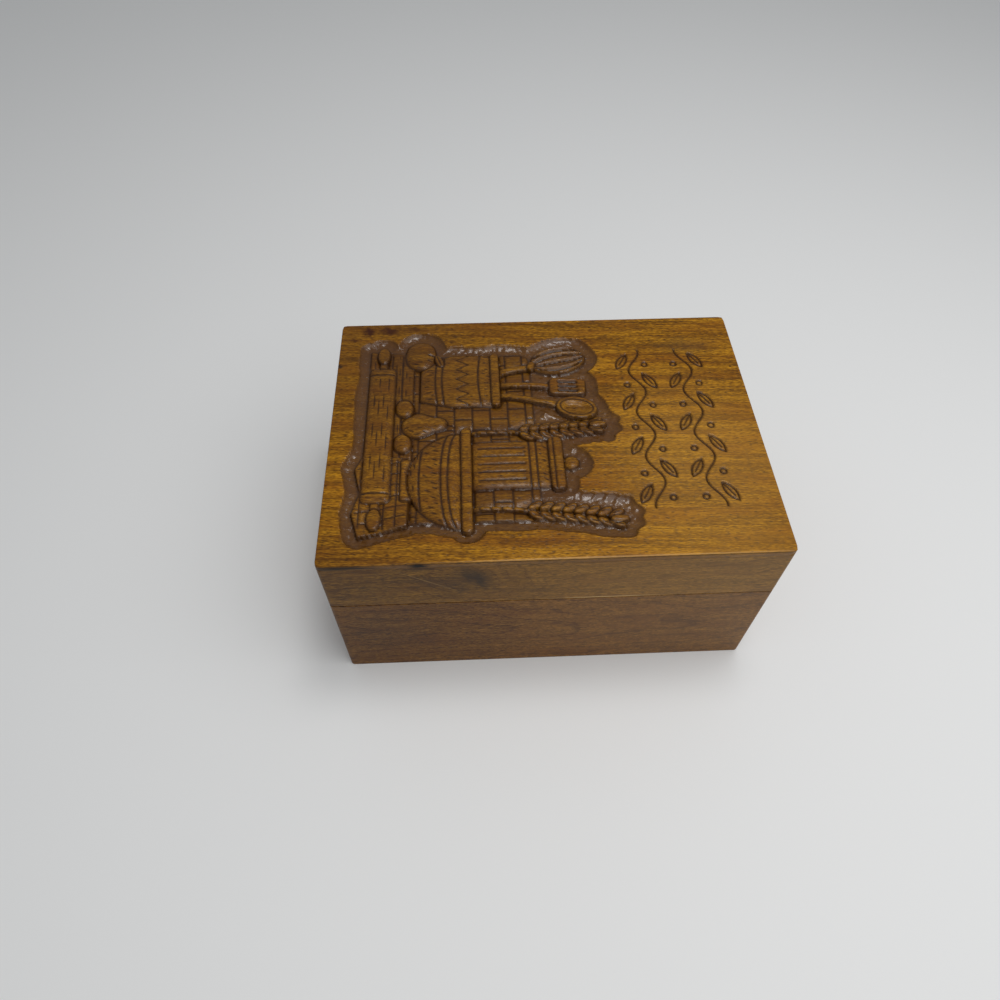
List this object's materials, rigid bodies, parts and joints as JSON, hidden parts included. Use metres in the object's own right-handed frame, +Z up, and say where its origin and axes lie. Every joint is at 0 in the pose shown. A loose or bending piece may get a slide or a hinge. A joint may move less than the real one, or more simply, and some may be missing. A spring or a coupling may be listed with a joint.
{
  "type": "recipe card box",
  "caption": "Wooden box for standing recipe cards, with a deep hinged lid whose top is carved in relief, on two brass stop hinges.",
  "frame": {"origin": "centre of the box's underside, on the surface it stands on", "axes": "+Z up; the opening front faces -Y and the hinges are at +Y; the long sides face -X (left) and +X (right)"},
  "size_m": [0.181, 0.2538, 0.121],
  "materials": {
    "walnut_sides": "satin varnish over walnut, grain along each board",
    "walnut_top": "glossy honey-brown varnish over walnut, darker in the carved ground",
    "walnut_inside": "thinly oiled walnut",
    "hinge_brass": "drawn brass, slightly dulled",
    "screw_brass": "turned brass"
  },
  "bodies": {
    "base": {"base_front": "walnut_sides", "base_back": "walnut_sides", "base_left": "walnut_sides", "base_right": "walnut_sides", "base_bottom": "walnut_inside", "left_hinge_base_leaf": "hinge_brass", "right_hinge_base_leaf": "hinge_brass", "left_hinge_pin": "hinge_brass", "right_hinge_pin": "hinge_brass", "base_hinge_screws": "screw_brass"},
    "lid": {"lid_front": "walnut_sides", "lid_back": "walnut_sides", "lid_left": "walnut_sides", "lid_right": "walnut_sides", "lid_top": "walnut_top", "left_hinge_lid_leaf": "hinge_brass", "right_hinge_lid_leaf": "hinge_brass", "lid_hinge_screws": "screw_brass"}
  },
  "joints": [
    {"name": "lid_hinge", "type": "hinge", "parent": "base", "child": "lid", "pos_m": [0, 0.1268, 0.0782], "axis": [-1, 0, 0], "range_deg": [0, 100]}
  ]
}
